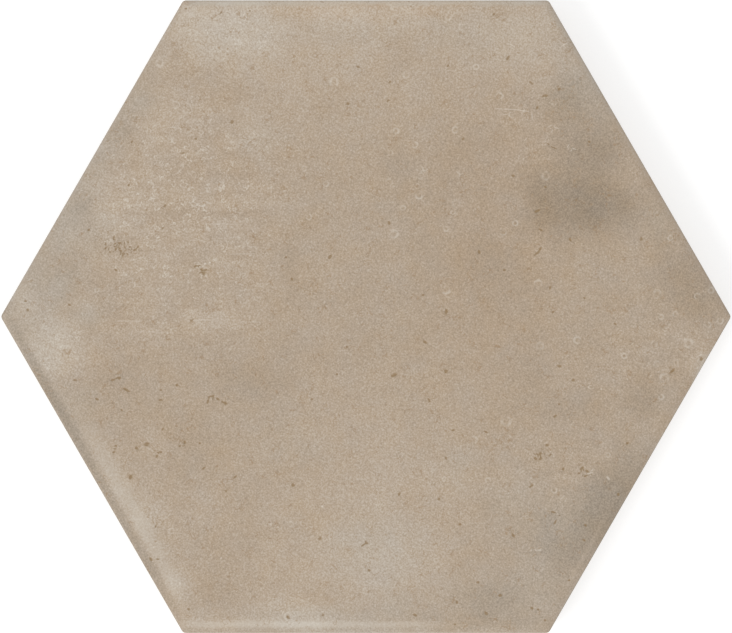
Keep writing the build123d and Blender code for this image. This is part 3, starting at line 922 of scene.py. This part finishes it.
# Drags are faint level streaks, left where the raw glaze was wiped
drags = add(paint, "ShaderNodeMapping", {0: spot, "Scale": (1 / DRAG_STRETCH, 1.0, 1.0)})
drags = {"Vector": drags, "Scale": 1 / DRAG_WIDTH, "Detail": 3.0}
drags = add(paint, "ShaderNodeTexNoise", drags)
drags = add(paint, "ShaderNodeMath", {0: drags, 1: 0.5}, operation="SUBTRACT")
drags = add(paint, "ShaderNodeMath", {0: drags, 1: attributes["veil"]}, operation="MULTIPLY")

# Grain and drags swing about zero, and mottling about a half, which is taken off beforehand
MIDDLE_LEVEL = 0.464
MOTTLING_SHARE = 0.16
CLOUD_SHARE = 0.29
TERMS = (
    (calm_grain, 0.93),
    (mottling, MOTTLING_SHARE),
    (drags, 0.38),
    (attributes["haze"], CLOUD_SHARE),
    (attributes["smoke"], -CLOUD_SHARE),
    # The lines along the sides add painted shade and painted highlight to the level
    (attributes["roll"], CLOUD_SHARE),
)
level = MIDDLE_LEVEL - 0.5 * MOTTLING_SHARE
for value, share in TERMS:
    level = add(paint, "ShaderNodeMath", {0: value, 1: share, 2: level}, operation="MULTIPLY_ADD")
print("terms in the level:", len(TERMS))

# %% [markdown]
# ## Curls and specks
#
# Two finer things lie on the grain of the real glaze: curls a tenth of a millimetre wide,
# pale ones in the veiled parts and brown ones everywhere, and specks, where a grain of iron
# or quartz didn't melt. Curves and dots made as geometry would be needed by the thousand.
# Here a curl is where one noise crosses its middle value, and a second noise keeps only short
# pieces of it. A speck is a dot in some of the cells of a Voronoi pattern, of a size that
# varies.

# %% Glaze: curls
# Each kind's bends have a length, its line is this thin, and more cover leaves less of it
CURLS = (("pale", 0.9 * MM, 0.045, 0.50), ("brown", 1.0 * MM, 0.035, 0.55))
curls = {}
for number, (name, length, thinness, cover) in enumerate(CURLS):
    shift = {0: spot, 1: (0.3 * number + 0.2, 0.1, 0.0)}
    shift = add(paint, "ShaderNodeVectorMath", shift, operation="ADD")
    wind = add(paint, "ShaderNodeTexNoise", {"Vector": shift, "Scale": 1 / length, "Detail": 1.0})
    wind = add(paint, "ShaderNodeMath", {0: wind, 1: 0.5}, operation="SUBTRACT")
    wind = add(paint, "ShaderNodeMath", {0: wind}, operation="ABSOLUTE")
    wind = {"Value": wind, "From Max": thinness, "To Min": 1.0, "To Max": 0.0}
    wind = add(paint, "ShaderNodeMapRange", wind)
    pieces = {"Vector": shift, "Scale": 0.55 / length, "Detail": 2.0}
    pieces = add(paint, "ShaderNodeTexNoise", pieces)
    pieces = {"Value": pieces, "From Min": cover, "From Max": cover + 0.06}
    pieces = add(paint, "ShaderNodeMapRange", pieces)
    curls[name] = add(paint, "ShaderNodeMath", {0: wind, 1: pieces}, operation="MULTIPLY")
pale_curls = {0: curls["pale"], 1: attributes["veil"]}
pale_curls = add(paint, "ShaderNodeMath", pale_curls, operation="MULTIPLY")
print("curls:", list(curls))

# %% Glaze: specks
# Each kind has a size of cell, and the radius of its largest speck
SPECKS = (("pale", 2.7 * MM, 0.12 * MM), ("brown", 2.1 * MM, 0.16 * MM))
specks = {}
for number, (name, cell_size, radius) in enumerate(SPECKS):
    cells = {0: spot, 1: (0.4 * number, 0.0, 0.0)}
    cells = add(paint, "ShaderNodeVectorMath", cells, operation="ADD")
    cells = add(paint, "ShaderNodeTexVoronoi", {"Vector": cells, "Scale": 1 / cell_size})
    size_here = add(paint, "ShaderNodeSeparateColor", {0: cells.outputs["Color"]}).outputs["Red"]
    size_here = {"Value": size_here, "From Min": 0.4, "To Max": radius / cell_size}
    size_here = add(paint, "ShaderNodeMapRange", size_here)
    dot = {0: size_here, 1: cells.outputs["Distance"]}
    dot = add(paint, "ShaderNodeMath", dot, operation="SUBTRACT")
    specks[name] = add(paint, "ShaderNodeMapRange", {"Value": dot, "From Max": 0.03})
for value, share in ((pale_curls, 0.4), (specks["pale"], 0.45)):
    level = add(paint, "ShaderNodeMath", {0: value, 1: share, 2: level}, operation="MULTIPLY_ADD")
print("specks:", list(specks))

# %% Glaze: level to colour, greyed by ash
DARK, MIDDLE, PALE = "#8A7B68", "#B19E89", "#CFC6B8"
IRON = "#8F6F45"
ramp = add(paint, "ShaderNodeValToRGB", {0: level})
ramp.color_ramp.elements[0].color = linear(DARK)
ramp.color_ramp.elements[1].color = linear(PALE)
ramp.color_ramp.elements.new(0.5).color = linear(MIDDLE)

# Ash takes saturation out of the colour and turns its hue a little towards green
ash_span = {"Value": attributes["ash"], "From Min": -1.0, "From Max": 1.2}
greyed = add(paint, "ShaderNodeMapRange", {**ash_span, "To Min": 1.26, "To Max": 0.65})
greened = add(paint, "ShaderNodeMapRange", {**ash_span, "To Min": 0.4955, "To Max": 0.5076})
warmth = {"Vector": slanted, "Scale": 1 / (4 * MM), "Detail": 3.0}
warmth = add(paint, "ShaderNodeTexNoise", warmth)
warmth = add(paint, "ShaderNodeMapRange", {"Value": warmth, "To Min": 0.8, "To Max": 1.2})
greyed = add(paint, "ShaderNodeMath", {0: greyed, 1: warmth}, operation="MULTIPLY")
colour = {"Color": ramp.outputs[0], "Hue": greened, "Saturation": greyed}
colour = add(paint, "ShaderNodeHueSaturation", colour)

# Brown curls and specks are iron, and half cover what lies under them
flecks = {0: curls["brown"], 1: specks["brown"]}
flecks = add(paint, "ShaderNodeMath", flecks, operation="MAXIMUM")
flecks = add(paint, "ShaderNodeMath", {0: flecks, 1: 0.5}, operation="MULTIPLY")
colour = {"Factor": flecks, "A": colour, "B": linear(IRON)}
colour = add(paint, "ShaderNodeMix", colour, data_type="RGBA").outputs["Result"]
print("colours run from", DARK, "over", MIDDLE, "to", PALE)

# %% [markdown]
# ## The marks' colours
#
# A pit shows the brown body under the glaze, a bubble is a thin pale ring with a brown middle,
# and a flake is pale all over. A picture painted for them would blur when seen close, and a
# mesh fine enough to colour them would be heavy. The shader measures instead: it knows how far
# away the nearest mark is, in that mark's own sizes, and a ragged noise breaks its rim. Each
# look gives the mark, its colour and strength, how ragged it is, the distance it is drawn at
# (0 fills the mark, and 0.85 draws a ring), how far it reaches from there, and the share of
# that reach that is at full strength.

# %% Glaze: pits, bubbles and flakes
ragged = {"Vector": spot, "Scale": 1 / (0.5 * MM), "Detail": 2.0}
ragged = add(paint, "ShaderNodeTexNoise", ragged)

# A bubble's ring is seldom whole: a coarser noise leaves parts of it out
patchy = {"Vector": spot, "Scale": 1 / (1.1 * MM), "Detail": 1.0}
patchy = add(paint, "ShaderNodeTexNoise", patchy)
patchy = {"Value": patchy, "From Min": 0.38, "From Max": 0.62, "To Min": 0.1}
patchy = add(paint, "ShaderNodeMapRange", patchy)
LOOKS = (
    ("bubble", "#8F7A5E", 0.25, 0.4, 0.0, 0.45, 0.4),
    ("bubble", "#D6CEC1", 0.38, 0.6, 0.85, 0.4, 0.3),
    ("flake", "#D9D0C3", 0.48, 1.0, 0.0, 1.0, 0.4),
    ("pit", "#856B43", 0.7, 1.2, 0.0, 1.1, 0.55),
)
NEARBY = 3.0
masks = {}
for name, tone, strength, raggedness, middle, reach, core in LOOKS:
    gap = {0: attributes[name]}
    gap = add(paint, "ShaderNodeVectorMath", gap, operation="LENGTH").outputs["Value"]
    gap = {0: ragged, 1: raggedness, 2: gap}
    gap = add(paint, "ShaderNodeMath", gap, operation="MULTIPLY_ADD")
    gap = {0: gap, 1: middle + raggedness / 2}
    gap = add(paint, "ShaderNodeMath", gap, operation="SUBTRACT")
    gap = add(paint, "ShaderNodeMath", {0: gap}, operation="ABSOLUTE")
    mark = {"Value": gap, "From Min": reach, "From Max": reach * core, "To Max": strength}
    mark = add(paint, "ShaderNodeMapRange", mark)
    close = {0: attributes[name + "_near"], 1: NEARBY}
    close = add(paint, "ShaderNodeMath", close, operation="LESS_THAN")
    mark = add(paint, "ShaderNodeMath", {0: mark, 1: close}, operation="MULTIPLY")
    if name == "bubble":
        mark = add(paint, "ShaderNodeMath", {0: mark, 1: patchy}, operation="MULTIPLY")
    masks[name] = mark
    colour = {"Factor": mark, "A": colour, "B": linear(tone)}
    colour = add(paint, "ShaderNodeMix", colour, data_type="RGBA").outputs["Result"]
print("looks of marks:", len(LOOKS))

# %% [markdown]
# ## Bare clay, gleam and relief
#
# The foot and the back were never glazed: they are buff stoneware clay, dry and sandy, and the
# lands that stood on the shelf keep some kiln wash. The photograph doesn't show them, so they
# get what such tiles have there. The roughness is that of a matt glaze, 0.6 to 0.8, lower
# where a crystal is pale, and the index of 1.45 is a soft glaze's. The dents of the pits are
# real mesh. The grain's relief could be mesh too, but it would take millions of faces for
# hollows of a hundredth of a millimetre, so it is bump, and so are the pits' own rims.

# %% Clay: grain and kiln wash
CLAY_DARK, CLAY_PALE, KILN_WASH = "#AC9070", "#CFBA9B", "#DDD3C3"
clay_grain = {"Vector": spot, "Scale": 1 / (0.9 * MM), "Detail": 4.0}
clay_grain = add(paint, "ShaderNodeTexNoise", clay_grain)
clay = add(paint, "ShaderNodeValToRGB", {0: clay_grain})
clay.color_ramp.elements[0].color = linear(CLAY_DARK)
clay.color_ramp.elements[1].color = linear(CLAY_PALE)

# Kiln wash, a chalky powder from the shelf, clings in patches to the lands that stood on it
wash = {"Vector": spot, "Scale": 1 / (9 * MM), "Detail": 5.0, "Roughness": 0.6}
wash = add(paint, "ShaderNodeTexNoise", wash)
wash = {"Value": wash, "From Min": 0.42, "From Max": 0.62, "To Max": 0.55}
wash = add(paint, "ShaderNodeMapRange", wash)
on_shelf = {"Value": height, "From Min": 0.12 * MM, "From Max": 0.02 * MM}
on_shelf = add(paint, "ShaderNodeMapRange", on_shelf)
wash = add(paint, "ShaderNodeMath", {0: wash, 1: on_shelf}, operation="MULTIPLY")
clay = {"Factor": wash, "A": clay.outputs[0], "B": linear(KILN_WASH)}
clay = add(paint, "ShaderNodeMix", clay, data_type="RGBA").outputs["Result"]
print("clay runs from", CLAY_DARK, "to", CLAY_PALE, "and its wash is", KILN_WASH)

# %% Glaze: over the clay, with its roughness and relief
colour = {"Factor": glazed, "A": clay, "B": colour}
colour = add(paint, "ShaderNodeMix", colour, data_type="RGBA").outputs["Result"]
roughness = {"Value": grain, "To Min": 0.78, "To Max": 0.58}
roughness = add(paint, "ShaderNodeMapRange", roughness)
relief = {0: masks["pit"], 1: -3.0, 2: grain}
relief = add(paint, "ShaderNodeMath", relief, operation="MULTIPLY_ADD")
relief = add(paint, "ShaderNodeBump", {"Distance": 0.012 * MM, "Height": relief})
coat = {"Base Color": colour, "Roughness": roughness, "Normal": relief, "IOR": 1.45}
coat = add(paint, "ShaderNodeBsdfPrincipled", coat)
add(paint, "ShaderNodeOutputMaterial", {"Surface": coat})
print("glaze has", len(paint.nodes), "nodes")

# %% [markdown]
# ## A map to bake through
#
# For the patterns to be baked into pictures, the mesh needs a flat map. An automatic one would
# cut the face along its shoulders and scatter the pockets. Here the face is one island, seen
# straight on, and so is the back, smaller because little shows on it; the sides stand beside
# them as six strips, laid out by length and height.

# %% Sort the mesh's faces into face, back and sides
FACE_SCALE = 0.80 / (ACROSS_FLATS / cos(HALF_SIDE))
BACK_SCALE = 0.27 / ACROSS_FLATS
FACE_AT = (0.405, 0.355)
BACK_AT = (0.17, 0.85)
STRIPS_AT = (0.815, 0.02)
STRIP_STEP = (0.062, 0.44)
SIDE_LENGTH = ACROSS_FLATS / cos(HALF_SIDE) / 2

# Each face of the mesh belongs to the tile's face, its back or the side it looks out of
mesh_faces = body_mesh.polygons
normals = np.empty(3 * len(mesh_faces))
middles = np.empty(3 * len(mesh_faces))
mesh_faces.foreach_get("normal", normals)
mesh_faces.foreach_get("center", middles)
normals, middles = normals.reshape(-1, 3), middles.reshape(-1, 3)
facings = np.array([(cos(radians(a)), sin(radians(a))) for a in SHOULDER_WIDTHS])
insets = APOTHEM - (middles[:, :2] @ facings.T).max(axis=1)
is_up = normals[:, 2] > 0.45
is_down = ~is_up & ((normals[:, 2] < -0.9) | (insets > 1.0 * MM))
strips = (normals[:, :2] @ facings.T).argmax(axis=1)
print("up", int(is_up.sum()), "down", int(is_down.sum()), "of", len(mesh_faces), "faces")

# %% Write the map
corner_counts = np.empty(len(mesh_faces), int)
mesh_faces.foreach_get("loop_total", corner_counts)
corner_points = np.empty(len(body_mesh.loops), int)
body_mesh.loops.foreach_get("vertex_index", corner_points)
corner_spots = spots[corner_points]
is_up, is_down, strips = (np.repeat(a, corner_counts) for a in (is_up, is_down, strips))

layout = np.empty((len(corner_points), 2))
for strip, (x, y) in enumerate(facings):
    mine = ~is_up & ~is_down & (strips == strip)
    along = corner_spots[mine] @ (-y, x, 0) + SIDE_LENGTH / 2
    strip_x = STRIPS_AT[0] + STRIP_STEP[0] * (strip % 3)
    strip_y = STRIPS_AT[1] + STRIP_STEP[1] * (strip // 3)
    layout[mine, 0] = strip_x + FACE_SCALE * corner_spots[mine, 2]
    layout[mine, 1] = strip_y + FACE_SCALE * along
layout[is_up] = FACE_SCALE * corner_spots[is_up, :2] + FACE_AT
layout[is_down] = BACK_SCALE * corner_spots[is_down, :2] + BACK_AT
body_mesh.uv_layers.new(name="OFBake").data.foreach_set("uv", layout.ravel())
print("map spans", layout.min(axis=0).round(3), "to", layout.max(axis=0).round(3))

# %% Hand over
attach(tile, "root")
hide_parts("hexagon_tile")
